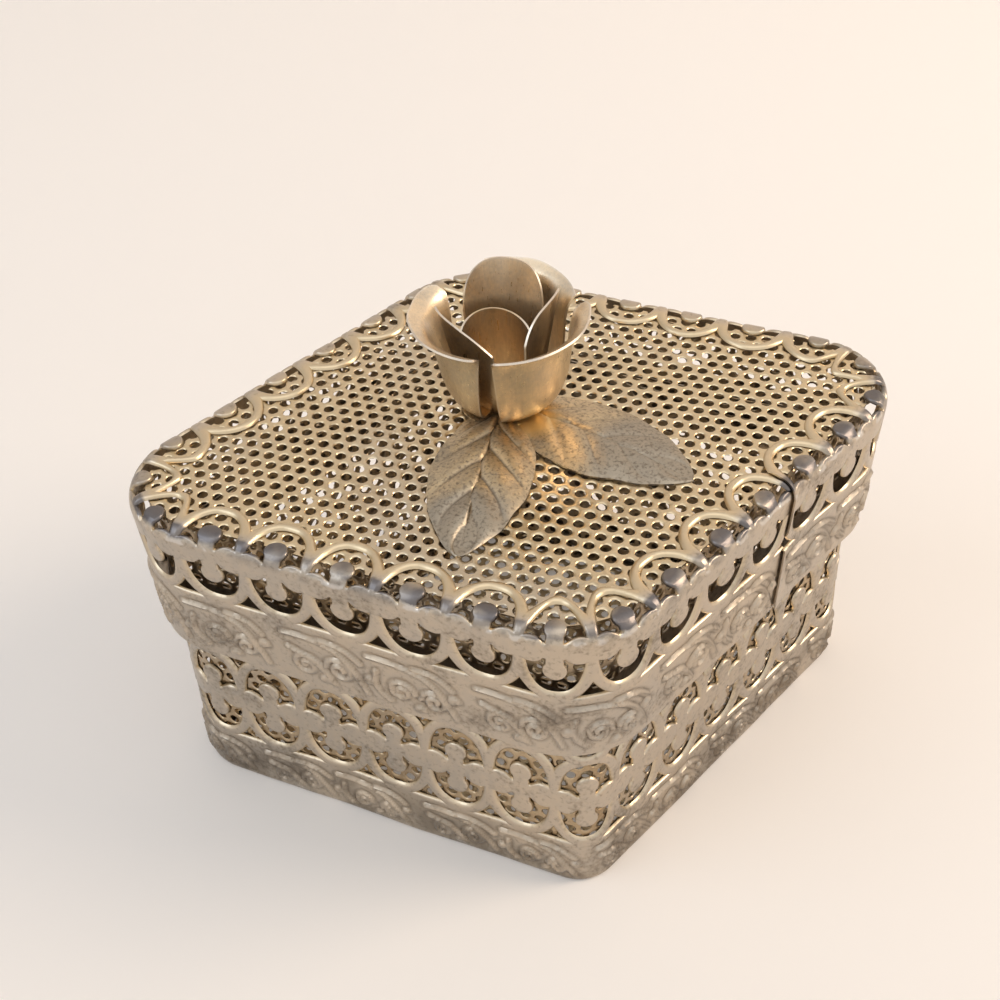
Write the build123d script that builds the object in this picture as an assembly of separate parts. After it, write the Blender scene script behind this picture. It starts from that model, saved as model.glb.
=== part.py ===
from build123d import *
import math
import os

# The box is a rhombus in plan with rounded corners.
# X runs along the long diagonal, Y along the short one, and Z up from the table.
# All sizes are in millimetres.

# Plan of the lid, measured on its folded top edge
side_length = 82.6
acute_half_angle = 35.6
lid_acute_radius = 13.5
lid_obtuse_radius = 15.5

# Heights
base_visible_height = 31.2
lid_wall_height = 24.7
neck_height = 11.8

# Sheet metal
band_thickness = 0.55
liner_thickness = 0.5
sheet_thickness = 0.5
solder_gap = 0.05

# Lid band: leans in towards its lower edge and folds over the top
lid_taper = 1.4
fold_radius = 2.2
fold_softness = 0.3
fold_cut_share = 0.4
web_share = 0.6

# Base: inset from the lid's plan, with tighter corners
base_inset = 3.8
base_acute_radius = 9.0
base_obtuse_radius = 6.5
hem_width = 3.0

# Lid lining strip, which stands on the neck of the base
lining_overlap = 0.3

# Filigree repeat: one oval ring that holds a quatrefoil
repeat_length = 10.3
oval_half_width = 4.3
oval_half_height = 8.3
ring_half_width = 6.8
ring_half_height = 9.75
lobe_half_width = 1.7
lobe_height = 3.75
side_lobe_offset = 3.5
side_lobe_radius = 2.5
heart_radius = 2.0
base_ring_height = 18.6
lid_ring_height = 21.8
border_gap = 9.4
row_pitch = 18.4
neck_rim = 1.6

# How far a cutting prism stands clear of the face it enters
overshoot = 1.0

# Openings of the flat sheets: a plain grid, coarser than the real perforation
# and as open as it is
grid_pitch = 9.6
grid_hole_radius = 2.9
grid_margin = 1.0
grid_angle = -27.6

# Rose knob
rose_x = -0.8
rose_y = 6.3
screw_radius = 1.2
screw_hole_radius = 1.35
screw_head_radius = 2.4
screw_head_height = 1.0
petal_thickness = 0.5
petal_shoulder = 0.5
petal_corner_radius = 4.0
petal_waist_height = 0.45
petal_neck_height = 0.86
petal_tab_radius = 5.0
outer_rim_radius = 13.6
outer_height = 16.4
outer_belly = 3.4
outer_flare = 3.2
outer_angles = {"front": -46, "back": 62, "left": -180}
outer_spans = {"front": 118, "back": 92, "left": 120}
inner_foot_radius = 4.0
inner_rim_radius = 8.8
inner_heights = {"back": 18.6, "right": 16.6, "left": 16.6}
inner_belly = 2.2
inner_flare = 1.2
inner_angles = {"back": 73, "right": -17, "left": -172}
inner_spans = {"back": 88, "right": 84, "left": 132}
inner_skews = {"back": 0, "right": 20, "left": -20}
bud_radius = 5.5
bud_height = 12.4
bud_belly = 1.6
bud_flare = 0.4
bud_clearance = 0.2
leaf_thickness = 0.6
leaf_boss_radius = 6.5
leaf_lengths = (34.5, 32.0)
leaf_widths = (17.0, 15.5)
leaf_angles = (-115.0, -49.0)
washer_radius = 4.0
washer_thickness = 0.8
nut_across_flats = 4.5
nut_thickness = 2.0
screw_end = 1.0

# Depth that cuts both the wall and the lean of the lid's band
cut_depth = lid_taper + 2 * band_thickness

# Levels worked out from the sizes above
floor_z = band_thickness
lining_z = floor_z + sheet_thickness
neck_z = base_visible_height + neck_height
lid_top_z = base_visible_height + lid_wall_height
sheet_top_z = lid_top_z - band_thickness
sheet_z = sheet_top_z - sheet_thickness
leaf_z = sheet_top_z
petal_z = leaf_z + leaf_thickness
inner_z = petal_z + petal_thickness
bud_z = inner_z + petal_thickness
screw_head_z = bud_z + petal_thickness
washer_z = sheet_z - washer_thickness
nut_z = washer_z - nut_thickness


def rhombus(inset, acute_radius, obtuse_radius):
    """Rounded plan outline, moved in from the lid's outline, as a face at Z = 0."""
    angle = math.radians(acute_half_angle)
    half_x = side_length * math.cos(angle) - inset / math.sin(angle)
    half_y = side_length * math.sin(angle) - inset / math.cos(angle)
    plan = Polygon((half_x, 0), (0, half_y), (-half_x, 0), (0, -half_y), align=None)
    acute = [v for v in plan.vertices() if abs(v.Y) < 1e-6]
    plan = fillet(acute, acute_radius)
    obtuse = [v for v in plan.vertices() if abs(v.X) < 1e-6]
    return fillet(obtuse, obtuse_radius)


def lid_plan(inset):
    """Plan of the lid at an inset: the corners stay concentric."""
    return rhombus(inset, lid_acute_radius - inset, lid_obtuse_radius - inset)


def base_plan(inset):
    """Plan of the base at an inset from its outer face."""
    return rhombus(base_inset + inset, base_acute_radius - inset, base_obtuse_radius - inset)


def slab(plan, low, high):
    """Solid between two levels over a plan."""
    return Pos(0, 0, low) * extrude(plan, high - low)


def strip(plan_of, inset, thickness, low, high):
    """Upright strip bent round a plan."""
    return slab(plan_of(inset) - plan_of(inset + thickness), low, high)


def crescent(side, stretch=1.0):
    """Opening above (side 1) or below (side -1) the quatrefoil's middle."""
    half = Pos(0, side * oval_half_height) * Rectangle(4 * oval_half_width, 2 * oval_half_height)
    opening = Ellipse(oval_half_width * stretch, oval_half_height) & half
    opening -= Circle(heart_radius * stretch)
    for x in (-side_lobe_offset, side_lobe_offset):
        opening -= Pos(x * stretch, 0) * Circle(side_lobe_radius)
    lobe = Rectangle(2 * lobe_half_width * stretch, 2 * lobe_height)
    lobe += Pos(0, side * lobe_height) * Circle(lobe_half_width * stretch)
    return opening - lobe


def spandrel(low, high):
    """Opening between two neighbouring rings, from one height to another."""
    gap = Pos(0, (low + high) / 2) * Rectangle(repeat_length, high - low)
    for x in (-repeat_length / 2, repeat_length / 2):
        for row in (0, row_pitch):
            gap -= Pos(x, row) * Ellipse(ring_half_width, ring_half_height)
    return gap


def stations(outline, offset):
    """Places of the filigree repeats round an outline: point, direction and outward normal."""
    length = outline.length
    count = round(length / repeat_length)
    front = outline.param_at_point(min(outline.vertices(), key=lambda v: v.Y).center())
    places = []
    for index in range(count):
        share = (front + (index + offset) / count) % 1.0
        point = outline.position_at(share)
        along = outline.tangent_at(share)
        outward = along.cross(Vector(0, 0, 1))
        if outward.dot(point) < 0:
            along = along * -1
            outward = outward * -1
        places.append((point, along, outward))
    return places


def wall_cut(place, height, opening):
    """Prism through an upright wall at one place, from a flat opening drawn face on."""
    point, along, outward = place
    origin = Vector(point.X, point.Y, height) + outward * overshoot
    face_on = Plane(origin=origin, x_dir=along, z_dir=outward)
    return extrude(face_on * opening, -(cut_depth + overshoot))


def base_band():
    """Filigree strip of the base, turned in at the bottom to hold the floor."""
    wall = strip(base_plan, 0, band_thickness, 0, neck_z)
    hem = slab(base_plan(0) - base_plan(hem_width), 0, band_thickness)
    openings = crescent(1) + crescent(-1)
    low = spandrel(-border_gap, 0)
    middle = spandrel(0, row_pitch)
    row_top = neck_z - neck_rim - base_ring_height
    second = Pos(0, row_pitch) * crescent(-1)
    second &= Pos(0, row_top / 2) * Rectangle(4 * repeat_length, row_top)
    middle &= Pos(0, row_top / 2) * Rectangle(4 * repeat_length, row_top)
    outline = base_plan(0).wire()
    cuts = []
    for place in stations(outline, 0.0):
        cuts.append(wall_cut(place, base_ring_height, openings))
        cuts.append(wall_cut(place, base_ring_height, second))
    for place in stations(outline, 0.5):
        cuts.append(wall_cut(place, base_ring_height, low))
        cuts.append(wall_cut(place, base_ring_height, middle))
    return wall + hem - cuts


def base_liner():
    """Perforated strip that lines the base and rises into the lid."""
    return strip(base_plan, band_thickness + solder_gap, liner_thickness, lining_z, neck_z)


def base_floor():
    """Perforated floor, resting on the hem of the band."""
    return perforated(base_plan, band_thickness + solder_gap, floor_z, lining_z)


def lid_shell(inset, low, top):
    """Outer form of the lid band, or its hollow, as a stack of plans."""
    wall_share = (top - fold_radius - low) / (lid_top_z - base_visible_height)
    sections = []
    for level, edge in (
        (low, lid_taper),
        (top - fold_radius, lid_taper * (1 - wall_share)),
        (top - fold_softness * fold_radius, fold_softness * fold_radius),
        (top, fold_radius),
    ):
        sections.append(Pos(0, 0, level) * lid_plan(inset + edge).face())
    return loft(sections, ruled=True)


def squeeze(outline, point):
    """How much a repeat narrows where the fold turns a corner."""
    share = outline.param_at_point(point)
    step = repeat_length / outline.length / 2
    ends = []
    for change in (-step, step):
        share_end = (share + change) % 1.0
        end = outline.position_at(share_end)
        normal = outline.tangent_at(share_end).cross(Vector(0, 0, 1))
        if normal.dot(end) < 0:
            normal = normal * -1
        ends.append(end - normal * ring_half_height / 2)
    return (ends[1] - ends[0]).length / repeat_length


def lid_band():
    """Filigree strip of the lid: wall, fold and ring tops lying on the sheet."""
    shell = lid_shell(0, base_visible_height, lid_top_z)
    hollow = lid_shell(band_thickness, base_visible_height, sheet_top_z)
    band = shell - hollow
    outline = lid_plan(0).wire()
    ring_z = base_visible_height + lid_ring_height
    flat_reach = lid_wall_height - fold_radius + fold_radius * math.pi / 2 - lid_ring_height
    ring_centre_inset = fold_radius - flat_reach
    reach = lid_plan(ring_centre_inset + web_share * ring_half_height)
    cuts = []
    crescents = []
    for point, along, outward in stations(outline, 0.5):
        stretch = squeeze(outline, point)
        frame = Plane(origin=point - outward * ring_centre_inset, x_dir=along, z_dir=(0, 0, 1))
        turn = 1 if frame.y_dir.dot(outward) < 0 else -1
        reach -= frame * Ellipse(ring_half_width * stretch, ring_half_height)
        crescents.append(frame * crescent(turn, stretch))
        cuts.append(wall_cut((point, along, outward), ring_z, crescent(-1)))
    for place in stations(outline, 0.0):
        cuts.append(wall_cut(place, ring_z, spandrel(-border_gap, 0)))
    cuts.append(slab(reach, sheet_top_z - overshoot, lid_top_z + overshoot))
    inside_fold = lid_plan(fold_softness * fold_radius + band_thickness / 2)
    cut_floor = sheet_top_z - fold_cut_share * fold_radius
    for opening in crescents:
        cuts.append(slab(opening & inside_fold, cut_floor, lid_top_z + overshoot))
    return band - cuts


def perforated(plan_of, inset, low, high, seat_radius=0.0):
    """Flat sheet with the grid of openings, whole at its edge and at the rose's seat."""
    room = plan_of(inset + grid_margin + grid_hole_radius).face()
    axis = Vector(rose_x, rose_y)
    clear = seat_radius + grid_margin + grid_hole_radius
    count = math.ceil(side_length / grid_pitch)
    openings = []
    for column in range(-count, count + 1):
        for row in range(-count, count + 1):
            across = (column + row / 2) * grid_pitch
            along = row * grid_pitch * math.sqrt(3) / 2
            centre = Vector(across, along).rotate(Axis.Z, grid_angle)
            if room.is_inside(centre) and (not seat_radius or (centre - axis).length > clear):
                openings.append(Pos(centre) * Circle(grid_hole_radius))
    return slab(plan_of(inset) - openings, low, high)


def lid_sheet():
    """Perforated top sheet under the fold of the band."""
    hole = Pos(rose_x, rose_y, sheet_z) * extrude(Circle(screw_hole_radius), sheet_thickness)
    sheet = perforated(lid_plan, band_thickness + fold_radius, sheet_z, sheet_top_z, washer_radius)
    return sheet - hole


def lid_liner():
    """Perforated strip under the top sheet, standing on the neck of the base."""
    inset = band_thickness - lining_overlap - liner_thickness
    return strip(base_plan, inset, liner_thickness, neck_z, sheet_z)


def ring(radius, hole, low, high):
    """Flat ring about the rose's axis."""
    return Pos(rose_x, rose_y) * slab(Circle(radius) - Circle(hole), low, high)


def petal_shell(foot_radius, rim_radius, height, belly, flare, span, angle, level, outline=None):
    """Petal: a tab under the screw head, then a curved sheet that rises and opens."""
    tab = (screw_hole_radius, 0)
    foot = (foot_radius, 0)
    waist = (foot_radius + belly, height * petal_waist_height)
    neck = (rim_radius - flare, height * petal_neck_height)
    rim = (rim_radius, height)
    outside = Spline(foot, waist, neck, rim)
    inside_points = [(foot_radius - petal_thickness, petal_thickness)]
    for share in (0.25, 0.5, 0.75, 1.0):
        along = outside % share
        inside_points.append(outside @ share + Vector(-along.Y, along.X) * petal_thickness)
    inside = Spline(*inside_points)
    tab_top = (screw_hole_radius, petal_thickness)
    closing = Polyline(inside @ 0, tab_top, tab, foot)
    section = make_face(outside + Line(outside @ 1, inside @ 1) + inside + closing)
    sheet = Rot(0, 0, -span / 2) * revolve(Plane.XZ * section, Axis.Z, span)
    if outline is not None:
        sheet &= outline
    return Pos(rose_x, rose_y, level) * Rot(0, 0, angle) * sheet


def rounded_corners(rim_radius, height, span):
    """Prism along the petal's facing that rounds its two upper corners."""
    half_width = rim_radius * math.sin(math.radians(span / 2)) + petal_thickness
    top = height + petal_thickness
    outline = RectangleRounded(2 * half_width, 2 * top, petal_corner_radius)
    return extrude(Plane.YZ * outline, 2 * rim_radius)


def arched_top(rim_radius, height, span, skew):
    """Prism, turned from the petal's facing, that gives it an arched upper edge."""
    half_width = rim_radius * math.sin(math.radians(span / 2 + abs(skew))) + petal_thickness
    shoulder = height * petal_shoulder
    top = height + petal_thickness - shoulder
    outline = Pos(0, shoulder) * Ellipse(half_width, top)
    outline += Pos(0, shoulder / 2 - height / 2) * Rectangle(2 * half_width, shoulder + height)
    return Rot(0, 0, skew) * extrude(Plane.YZ * outline, 2 * rim_radius)


def outer_petal(place):
    """Wide outer petal with a flared rim."""
    sizes = (petal_tab_radius, outer_rim_radius, outer_height, outer_belly, outer_flare)
    span = outer_spans[place]
    outline = rounded_corners(outer_rim_radius, outer_height, span)
    return petal_shell(*sizes, span, outer_angles[place], petal_z, outline)


def inner_petal(place):
    """Narrower, taller inner petal with an arched top."""
    height = inner_heights[place]
    sizes = (inner_foot_radius, inner_rim_radius, height, inner_belly, inner_flare)
    span = inner_spans[place]
    outline = arched_top(inner_rim_radius, height, span, inner_skews[place])
    return petal_shell(*sizes, span, inner_angles[place], inner_z, outline)


def rose_bud():
    """Small open cup in the heart of the rose."""
    foot_radius = screw_head_radius + petal_thickness + bud_clearance
    return petal_shell(foot_radius, bud_radius, bud_height, bud_belly, bud_flare, 360, 0, bud_z)


def leaf(length, width, angle):
    """Pointed oval leaf outline from the rose's axis."""
    bulge = width / 2
    edge = ThreePointArc((0, 0), (length * 0.5, bulge), (length, 0))
    other = ThreePointArc((length, 0), (length * 0.5, -bulge), (0, 0))
    return Rot(0, 0, angle) * make_face(edge + other)


def rose_leaves():
    """Two leaves stamped in one sheet round the screw hole."""
    plan = Circle(leaf_boss_radius)
    for length, width, angle in zip(leaf_lengths, leaf_widths, leaf_angles):
        plan += leaf(length, width, angle)
    plan -= Circle(screw_hole_radius)
    return Pos(rose_x, rose_y) * slab(plan, leaf_z, petal_z)


def rose_screw():
    """Screw through the rose, the leaves and the lid sheet."""
    shank = slab(Circle(screw_radius), nut_z - screw_end, screw_head_z)
    head = slab(Circle(screw_head_radius), screw_head_z, screw_head_z + screw_head_height)
    return Pos(rose_x, rose_y) * (shank + head)


def rose_nut():
    """Hexagonal nut under the lid."""
    plan = RegularPolygon(nut_across_flats / math.sqrt(3), 6) - Circle(screw_radius + solder_gap)
    return Pos(rose_x, rose_y) * slab(plan, nut_z, washer_z)


nodes = {
    "base_band": base_band(),
    "base_liner": base_liner(),
    "base_floor": base_floor(),
    "lid_band": lid_band(),
    "lid_liner": lid_liner(),
    "lid_sheet": lid_sheet(),
    "rose_leaves": rose_leaves(),
    "rose_bud": rose_bud(),
    "rose_screw": rose_screw(),
    "rose_washer": ring(washer_radius, screw_hole_radius, washer_z, sheet_z),
    "rose_nut": rose_nut(),
}
for place in outer_angles:
    nodes[f"outer_petal_{place}"] = outer_petal(place)
for place in inner_angles:
    nodes[f"inner_petal_{place}"] = inner_petal(place)

os.makedirs("parts", exist_ok=True)
for name, shape in nodes.items():
    export_step(shape, f"parts/{name}.step")
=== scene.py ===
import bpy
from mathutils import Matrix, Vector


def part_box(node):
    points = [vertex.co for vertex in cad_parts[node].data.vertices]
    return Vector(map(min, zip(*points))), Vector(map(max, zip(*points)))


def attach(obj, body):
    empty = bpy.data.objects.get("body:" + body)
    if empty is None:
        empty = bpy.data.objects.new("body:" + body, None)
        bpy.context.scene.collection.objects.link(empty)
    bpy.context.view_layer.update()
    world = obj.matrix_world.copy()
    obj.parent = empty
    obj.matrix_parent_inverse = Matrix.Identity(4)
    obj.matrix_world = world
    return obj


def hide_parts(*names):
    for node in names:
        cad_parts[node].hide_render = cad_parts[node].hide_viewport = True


bl_info = {
    "name": "Filigree trinket box",
    "version": (1, 0, 0),
    "blender": (4, 5, 0),
    "location": "View3D > Sidebar > Trinket box",
    "description": "Dresses a rhombic openwork box with perforated sheets, a rose and its leaves",
    "category": "Object",
}

import math
from dataclasses import dataclass
from functools import partial
from typing import Callable

import bmesh
import bpy
from bpy.props import FloatProperty, FloatVectorProperty, IntProperty, PointerProperty
from mathutils import Matrix, Vector, noise

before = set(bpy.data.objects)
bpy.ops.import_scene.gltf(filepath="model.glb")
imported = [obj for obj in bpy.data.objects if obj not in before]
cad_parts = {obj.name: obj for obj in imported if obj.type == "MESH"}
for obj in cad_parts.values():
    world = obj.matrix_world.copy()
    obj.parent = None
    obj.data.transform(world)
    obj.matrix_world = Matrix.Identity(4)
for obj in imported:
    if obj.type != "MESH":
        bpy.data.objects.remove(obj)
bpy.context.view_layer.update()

MM = 0.001
WELD = 0.004 * MM

# Height of a row of holes, in pitches
ROW = math.sqrt(3) / 2
HOLE_SIDES = 12
# Straight cuts that follow the rounded edge of a flat sheet
EDGE_CUTS = 96
# Columns that each ring is divided into before it is bent
RING_COLUMNS = 8
# Share of the rolled edge still left, and its drop, both in widths of the rolled edge
ROLL_STEPS = ((1.0, 0.0), (0.6, 0.1), (0.25, 0.34), (0.0, 0.8))
# Plain metal between the lowest openings and the embossed border
MARGIN = 0.9 * MM
RELIEF_GRID = 0.3 * MM

# Dents: their usual distance apart, and their depth where they are broad and where fine
DENT_SPACING = 19 * MM
DENT_BROAD = 0.42 * MM
DENT_FINE = 0.1 * MM
# Without a seed the dents would differ from run to run
DENT_SEED = 1
# How far a leaf's tip hangs down, and how far its edge waves in and out
LEAF_DROOP = 0.5 * MM
LEAF_WAVE = 0.35 * MM

# Paper: half its width, half its length and the radius of its bend, in metres
PAPER_HALF_WIDTH = 1.6
PAPER_REACH = 1.3
PAPER_BEND = 0.08
# Lamps: name, place, aim, size, power and tone
LAMPS = (
    ("left window", (-0.7, -0.1, 0.7), (0, 0, 0.03), 0.7, 1.7, (0.76, 0.87, 1.0)),
    ("right lamp", (0.75, -0.15, 0.55), (0, 0.02, 0.03), 0.5, 4.8, (1.0, 0.80, 0.60)),
    ("top", (0.05, -0.2, 1.1), (0, 0, 0), 0.9, 1.3, (1.0, 0.97, 0.93)),
)

# Levels and places read from the frame
BASE_LOW, BASE_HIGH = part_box("base_band")
LID_LOW, LID_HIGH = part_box("lid_band")
LEAF_LOW, LEAF_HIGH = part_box("rose_leaves")
SCREW_LOW, SCREW_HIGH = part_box("rose_screw")
ROSE = Vector(((SCREW_LOW[0] + SCREW_HIGH[0]) / 2, (SCREW_LOW[1] + SCREW_HIGH[1]) / 2, 0))


def length(name, description, default):
    """A size in millimetres that shows as a length."""
    return FloatProperty(
        name=name, description=description, default=default * MM, unit="LENGTH", precision=5
    )


def angle(name, description, degrees):
    return FloatProperty(
        name=name, description=description, default=math.radians(degrees), subtype="ANGLE"
    )


def number(name, description, default):
    return FloatProperty(name=name, description=description, default=default)


def colour(name, description, default):
    return FloatVectorProperty(
        name=name, description=description, default=default, size=3, subtype="COLOR", min=0, max=1
    )


class PlanSettings(bpy.types.PropertyGroup):
    side: length("Side", "Side of the rhombus before its corners are rounded", 82.6)
    half_angle: angle("Half angle", "Half of the sharp corner", 35.6)
    lid_acute: length("Lid sharp corner", "Radius of the lid's sharp corners", 13.5)
    lid_obtuse: length("Lid blunt corner", "Radius of the lid's blunt corners", 15.5)
    base_inset: length("Base inset", "How far the base stands inside the lid", 3.8)
    base_acute: length("Base sharp corner", "Radius of the base's sharp corners", 9.0)
    base_obtuse: length("Base blunt corner", "Radius of the base's blunt corners", 6.5)
    lid_taper: length("Lid taper", "How far the lid's lower edge stands in", 1.4)
    fold: length("Fold", "Radius of the lid's folded edge", 2.2)
    hem: length("Hem", "Width of the turned-in hem under the base", 3.0)
    hem_bend: length("Hem bend", "Radius of the bend above the hem", 0.8)


class FiligreeSettings(bpy.types.PropertyGroup):
    repeat: length("Repeat", "Length of one ring along the strip", 10.3)
    oval_width: length("Oval half width", "Half width of the openings' oval", 4.3)
    oval_height: length("Oval half height", "Half height of the openings' oval", 8.3)
    ring_width: length("Ring half width", "Half width of a ring's outer edge", 6.8)
    ring_height: length("Ring half height", "Half height of a ring's outer edge", 10.4)
    arch_height: length("Arch height", "Height of a ring's free upper edge on the lid", 9.8)
    lobe_width: length("Lobe radius", "Radius of an upright lobe", 1.85)
    neck: length("Lobe neck", "Half width of an upright lobe's neck", 1.35)
    lobe_height: length("Lobe height", "Height of an upright lobe's centre", 3.75)
    side_offset: length("Side lobe offset", "Distance of a side lobe from the middle", 3.5)
    side_radius: length("Side lobe radius", "Radius of a side lobe", 2.5)
    heart: length("Heart radius", "Radius of the middle of the quatrefoil", 2.0)
    border_gap: length("Border gap", "From a ring's centre down to the solid border", 9.2)
    row_pitch: length("Row pitch", "Height from one row of rings to the next", 18.4)
    base_ring: length("Base ring height", "Height of the base's ring centres", 18.6)
    lid_ring: length("Lid ring height", "Height of the lid's ring centres above its edge", 21.8)
    fullness: number("Fullness", "2 makes the openings' oval plain, more makes it fuller", 2.5)
    roll: length("Rolled edge", "How wide the edge of a ring is rounded", 0.65)
    lobe_roll: number("Lobe edge", "Share of the rolled edge on the lobes", 0.5)
    lap: length("Lap", "How far the lid strip's first end laps over its last", 0.6)
    lap_lift: length("Lap lift", "How far the lapped end stands out", 0.55)
    lap_reach: length("Lap reach", "Length of the lapped end that is bent outwards", 6.0)
    sheet: length("Strip thickness", "Thickness of the stamped strip", 0.25)
    relief: length("Relief", "Height of the embossed scrolls", 0.45)
    stroke: length("Stroke", "Half width of an embossed stroke", 0.55)
    scrolls: IntProperty(name="Scrolls", description="Scroll groups round a border", default=10)
    seam: IntProperty(
        name="Seam", description="Rings from the lid's front corner to its seam", default=4
    )


class SheetSettings(bpy.types.PropertyGroup):
    pitch: length("Hole pitch", "Distance between hole centres", 2.38)
    hole: length("Hole radius", "Radius of a punched hole", 0.78)
    lip: length("Hole lip", "Rounding at the edge of a hole", 0.13)
    sheet: length("Sheet thickness", "Thickness of the perforated sheets", 0.3)
    turn: angle("Lattice turn", "Direction of the rows of holes", -27.6)


class RoseSettings(bpy.types.PropertyGroup):
    petal: length("Petal thickness", "Thickness of a petal", 0.32)
    leaf: length("Leaf thickness", "Thickness of a leaf", 0.4)
    vein: length("Vein depth", "Depth of a leaf's creased veins", 0.5)
    leaf_cup: length("Leaf cup", "How far a leaf's middle stands above its edge", 0.9)
    lean: angle("Lean", "Lean of the rose to the left", 4)


class MetalSettings(bpy.types.PropertyGroup):
    strip: colour("Strip", "Clean metal of the openwork", (0.55, 0.465, 0.365))
    strip_cool: colour("Strip worn", "Cooler worn metal of the openwork", (0.44, 0.40, 0.35))
    strip_dark: colour("Strip tarnish", "Tarnish on the openwork", (0.15, 0.12, 0.09))
    # Painted highlight: the bright line along the lid's fold and the bright rims of the petals.
    wear_and_highlight: colour("Painted highlight", "Painted highlight on the fold and the petals' rims", (0.74, 0.72, 0.70))
    # Painted gold reflection at the foot of the petals.
    gold: colour("Painted gold reflection", "Painted gold reflection low on the petals", (0.70, 0.52, 0.26))
    # Painted light in gold: a highlight along the rolled edges of the openings and a reflection on the
    # leaves under the rose.
    painted_gold_light: colour("Painted gold light", "Painted gold highlight on rolled edges and painted gold reflection under the rose", (0.86, 0.68, 0.38))
    slate: colour("Fold", "Worn grey metal of the folded edge", (0.125, 0.118, 0.125))
    sheet: colour("Sheet", "Perforated sheet", (0.61, 0.495, 0.325))
    sheet_dark: colour("Sheet tarnish", "Tarnish on the perforated sheet", (0.28, 0.19, 0.10))
    lining: colour("Lining", "Perforated linings", (0.48, 0.37, 0.24))
    petal: colour("Petal", "Brushed metal of the petals", (0.77, 0.63, 0.45))
    copper: colour("Copper", "Copper tone low on the petals", (0.62, 0.40, 0.22))
    leaf: colour("Leaf", "Clean metal of the leaves", (0.56, 0.44, 0.28))
    leaf_slate: colour("Leaf tips", "Worn grey metal at the leaves' tips", (0.31, 0.28, 0.235))
    leaf_dark: colour("Leaf patches", "Grey patches on the leaves", (0.27, 0.235, 0.19))
    fastener: colour("Fastener", "Screw, washer and nut", (0.45, 0.33, 0.15))


class StudioSettings(bpy.types.PropertyGroup):
    lens: FloatProperty(name="Lens", description="Focal length", default=54, unit="CAMERA")
    elevation: angle("Elevation", "How far the camera looks down", 40.7)
    heading: angle("Heading", "How far the camera looks to the right of straight on", 10.66)
    roll: angle("Roll", "Tilt of the camera", -2.46)
    camera_x: length("Camera X", "Place of the camera", -35.6)
    camera_y: length("Camera Y", "Place of the camera", -172.1)
    camera_z: length("Camera Z", "Place of the camera", 192.6)
    wall: length("Wall", "Distance of the backdrop's bend behind the box", 480)
    paper: colour("Paper", "Floor and backdrop", (0.85, 0.815, 0.785))
    paper_glow: number("Paper glow", "How much lighter the paper looks than it is lit", 0.17)
    room: number("Room light", "Light of the room", 0.42)


class Outline:
    """Rounded rhombus that is followed by the distance from its front tip."""

    def __init__(self, inset, acute_radius, obtuse_radius):
        plan = bpy.context.scene.box_plan
        self.angle = plan.half_angle
        self.half_x = plan.side * math.cos(self.angle) - inset / math.sin(self.angle)
        self.half_y = plan.side * math.sin(self.angle) - inset / math.cos(self.angle)
        self.acute = acute_radius
        self.obtuse = obtuse_radius
        self.obtuse_run = obtuse_radius * self.angle
        self.acute_run = acute_radius * (math.pi / 2 - self.angle)
        side = self.half_x / math.cos(self.angle)
        cut = obtuse_radius * math.tan(self.angle) + acute_radius / math.tan(self.angle)
        self.quarter = self.obtuse_run + side - cut + self.acute_run
        self.length = 4 * self.quarter

    def place(self, distance):
        """Point and outward direction at a distance round the outline."""
        quadrant, run = divmod(distance, self.quarter)
        quadrant = int(quadrant) % 4
        if quadrant % 2:
            run = self.quarter - run
        tip = Vector((0, -self.half_y + self.obtuse / math.cos(self.angle)))
        facing = self.angle - math.pi / 2
        if run < self.obtuse_run:
            facing = run / self.obtuse - math.pi / 2
            point = tip + self.obtuse * Vector((math.cos(facing), math.sin(facing)))
        elif run < self.quarter - self.acute_run:
            start = tip + self.obtuse * Vector((math.cos(facing), math.sin(facing)))
            along = Vector((math.cos(self.angle), math.sin(self.angle)))
            point = start + (run - self.obtuse_run) * along
        else:
            facing = (run - self.quarter) / self.acute
            tip = Vector((self.half_x - self.acute / math.sin(self.angle), 0))
            point = tip + self.acute * Vector((math.cos(facing), math.sin(facing)))
        outward = Vector((math.cos(facing), math.sin(facing)))
        if quadrant in (2, 3):
            point.x, outward.x = -point.x, -outward.x
        if quadrant in (1, 2):
            point.y, outward.y = -point.y, -outward.y
        return point, outward


def lid_outline(inset=0.0):
    plan = bpy.context.scene.box_plan
    return Outline(inset, plan.lid_acute - inset, plan.lid_obtuse - inset)


def base_outline(inset=0.0):
    plan = bpy.context.scene.box_plan
    return Outline(plan.base_inset + inset, plan.base_acute - inset, plan.base_obtuse - inset)


def ring_count(outline):
    """How many whole rings go round an outline."""
    return round(outline.length / bpy.context.scene.box_filigree.repeat)


def dent(point):
    """Small unevenness of the hand-worn box, the same for every piece at one place."""
    near = Vector((point.x, point.y, point.z * 0.7)) / DENT_SPACING
    push = noise.noise_vector(near) * DENT_BROAD + noise.noise_vector(near * 3.3) * DENT_FINE
    lift = min(1.0, max(0.0, (point.z - 3 * MM) / (12 * MM)))
    return Vector((point.x + push.x, point.y + push.y, point.z + push.z * 0.5 * lift))


def base_profile(height):
    """Inset, level and tilt of the base strip at a height along it."""
    bend = bpy.context.scene.box_plan.hem_bend
    if height >= bend:
        return 0.0, BASE_LOW[2] + height, 0.0
    turned = (bend - height) / bend
    if turned < math.pi / 2:
        level = bend - bend * math.sin(turned)
        return bend - bend * math.cos(turned), BASE_LOW[2] + level, -turned
    return bend + bend * (turned - math.pi / 2), BASE_LOW[2], -math.pi / 2


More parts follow.
